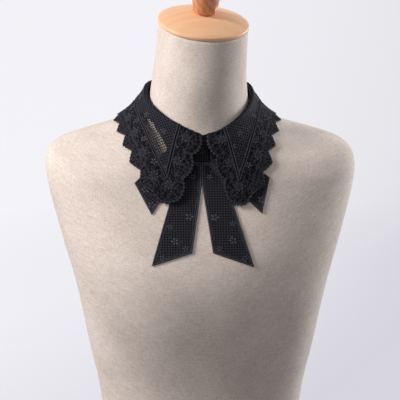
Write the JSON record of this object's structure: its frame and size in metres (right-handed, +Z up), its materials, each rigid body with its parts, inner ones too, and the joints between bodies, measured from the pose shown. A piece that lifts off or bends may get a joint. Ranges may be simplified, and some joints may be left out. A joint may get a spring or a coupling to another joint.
{
  "type": "lace collar on a limbless dress form",
  "caption": "Black lace false collar with two pointed leaves and a flat lace bow, worn by a linen-covered limbless dress form with a domed wooden neck cap and a turned knob.",
  "frame": {"origin": "middle of the dress form's flat base", "axes": "+Z up, the front of the form and the bow face -Y, +X is the right of someone who faces the collar"},
  "size_m": [0.38, 0.2292, 0.6302],
  "materials": {
    "linen_cover": "matte woven linen",
    "cap_wood": "satin pale beech",
    "knob_wood": "gloss varnish",
    "neck_band": "plain matte ribbon",
    "hook_metal": "blackened",
    "black_lace": "embroidered lace with a soft thread sheen"
  },
  "bodies": {
    "root": {"form_body": "linen_cover", "form_neck_cap": "cap_wood", "form_knob": "knob_wood", "collar_band": "neck_band", "collar_hook": "hook_metal", "collar_leaf_left": "black_lace", "collar_leaf_right": "black_lace", "bow_wing_left": "black_lace", "bow_wing_right": "black_lace", "bow_tail_left": "black_lace", "bow_tail_right": "black_lace", "bow_knot": "black_lace"}
  },
  "joints": []
}
